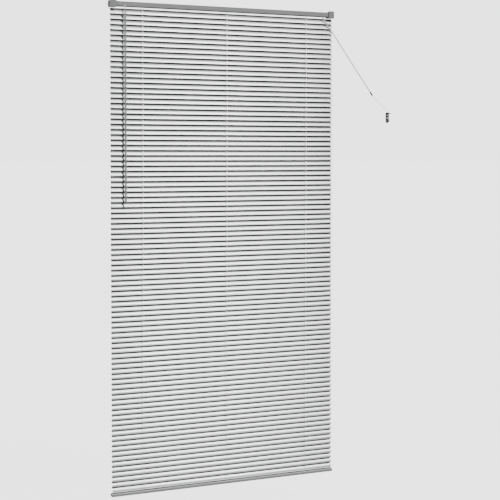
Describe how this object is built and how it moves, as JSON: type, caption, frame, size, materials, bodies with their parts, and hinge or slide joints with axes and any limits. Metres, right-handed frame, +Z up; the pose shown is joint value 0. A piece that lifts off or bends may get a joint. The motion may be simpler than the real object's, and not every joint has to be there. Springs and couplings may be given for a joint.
{
  "type": "venetian blind",
  "caption": "Metal slat blind on ladder cords between a headrail and a bottom rail, with a tilt wand, pull cords and a wall cleat.",
  "frame": {"origin": "middle of the four wall screw holes, on the wall plane behind the two brackets", "axes": "+X to the viewer's right along the headrail, +Y into the wall, +Z up"},
  "size_m": [1.3002, 0.0371, 2.0058],
  "materials": {
    "slat_metal": "satin enamel on aluminium",
    "rail_metal": "satin enamel on steel",
    "zinc_steel": "zinc plated",
    "cap_plastic": "moulded",
    "white_plastic": "moulded",
    "roller_brass": "turned and knurled",
    "wand_clear": "clear acrylic",
    "wand_fitting": "moulded",
    "cord_fibre": "braided polyester",
    "connector_plastic": "moulded",
    "cleat_plastic": "clear moulded"
  },
  "bodies": {
    "frame": {"headrail": "rail_metal", "tilter_housing": "white_plastic", "cord_lock_body": "white_plastic", "cord_lock_pin": "zinc_steel", "cord_connector": "connector_plastic", "pull_cord": "cord_fibre", "cord_cleat": "cleat_plastic", "slats": "slat_metal", "end_cap_left": "cap_plastic", "end_cap_right": "cap_plastic", "bracket_left": "zinc_steel", "bracket_right": "zinc_steel", "hinge_pin_left": "zinc_steel", "hinge_pin_right": "zinc_steel", "drum_cradle_left": "white_plastic", "drum_cradle_centre": "white_plastic", "drum_cradle_right": "white_plastic", "ladder_left": "cord_fibre", "ladder_centre": "cord_fibre", "ladder_right": "cord_fibre", "lift_cord_left": "cord_fibre", "lift_cord_centre": "cord_fibre", "lift_cord_right": "cord_fibre", "lift_cord_run_left": "cord_fibre", "lift_cord_run_centre": "cord_fibre", "lift_cord_run_right": "cord_fibre", "pull_strand_left": "cord_fibre", "pull_strand_centre": "cord_fibre", "pull_strand_right": "cord_fibre"},
    "tilt_shaft": {"tilt_rod": "zinc_steel", "tilter_gear": "white_plastic", "ladder_drum_left": "white_plastic", "ladder_drum_centre": "white_plastic", "ladder_drum_right": "white_plastic"},
    "worm": {"tilter_worm": "zinc_steel"},
    "link": {"wand_link": "zinc_steel"},
    "wand": {"wand_socket": "wand_fitting", "tilt_wand": "wand_clear"},
    "left_door": {"bracket_door_left": "zinc_steel"},
    "right_door": {"bracket_door_right": "zinc_steel"},
    "rail": {"bottom_rail": "rail_metal", "rail_cap_left": "cap_plastic", "rail_cap_right": "cap_plastic", "ladder_button_left": "cap_plastic", "ladder_button_centre": "cap_plastic", "ladder_button_right": "cap_plastic"},
    "lock_roller": {"cord_lock_roller": "roller_brass"}
  },
  "joints": [
    {"name": "tilt_rod_turn", "type": "hinge", "parent": "frame", "child": "tilt_shaft", "pos_m": [0, -0.0155, 0.0004], "axis": [-1, 0, 0], "range_deg": [0, 150]},
    {"name": "worm_turn", "type": "hinge", "parent": "frame", "child": "worm", "pos_m": [-0.442, -0.02261, 0.00309], "axis": [0, -0.3545, -0.935], "range_deg": [0, 1800]},
    {"name": "wand_turn", "type": "hinge", "parent": "frame", "child": "link", "pos_m": [-0.442, -0.0325, -0.023], "axis": [0, 0, -1], "range_deg": [0, 1800]},
    {"name": "wand_swing", "type": "hinge", "parent": "link", "child": "wand", "pos_m": [-0.442, -0.0325, -0.032], "axis": [-1, 0, 0], "range_deg": [0, 60]},
    {"name": "left_door_swing", "type": "hinge", "parent": "frame", "child": "left_door", "pos_m": [-0.4912, -0.0284, 0.0147], "axis": [-1, 0, 0], "range_deg": [0, 110]},
    {"name": "right_door_swing", "type": "hinge", "parent": "frame", "child": "right_door", "pos_m": [0.4912, -0.0284, 0.0147], "axis": [-1, 0, 0], "range_deg": [0, 110]},
    {"name": "lift", "type": "slide", "parent": "frame", "child": "rail", "axis": [0, 0, 1], "range_m": [0, 1.86], "deforming": ["slats", "lift_cord_left", "lift_cord_centre", "lift_cord_right", "ladder_left", "ladder_centre", "ladder_right"]},
    {"name": "roller_rise", "type": "slide", "parent": "frame", "child": "lock_roller", "axis": [-0.5, 0, 0.866], "range_m": [0, 0.003]}
  ],
  "couplings": [
    {"joint": "worm_turn", "follows": "tilt_rod_turn", "ratio": 12},
    {"joint": "wand_turn", "follows": "tilt_rod_turn", "ratio": 12}
  ]
}
